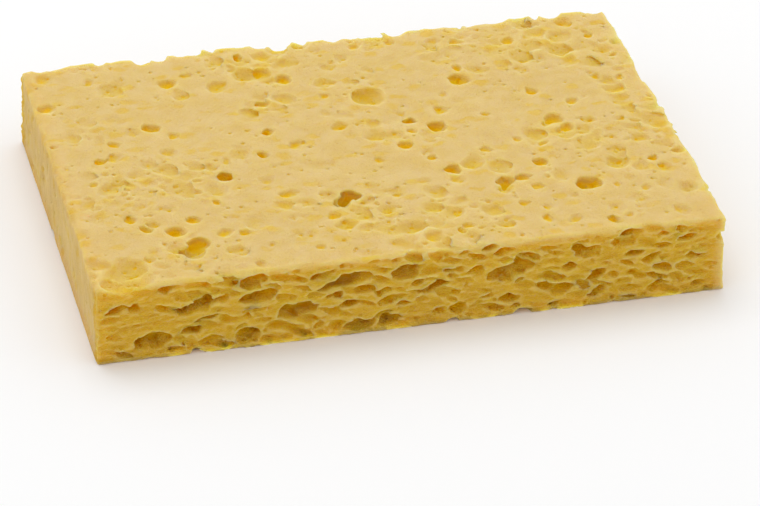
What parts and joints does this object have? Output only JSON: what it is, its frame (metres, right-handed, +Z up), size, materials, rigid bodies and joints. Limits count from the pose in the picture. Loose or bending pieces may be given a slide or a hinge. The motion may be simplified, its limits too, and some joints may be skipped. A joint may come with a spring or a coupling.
{
  "type": "soldering sponge",
  "caption": "Flat oblong block of dry cellulose sponge that, when damp, wipes solder and flux off the tip of a soldering iron.",
  "frame": {"origin": "middle of the underside", "axes": "+X along the length, +Y from the front to the back, +Z up through the thickness"},
  "size_m": [0.08, 0.055, 0.011],
  "materials": {
    "foam": "matte"
  },
  "bodies": {
    "root": {"sponge": "foam"}
  },
  "joints": []
}
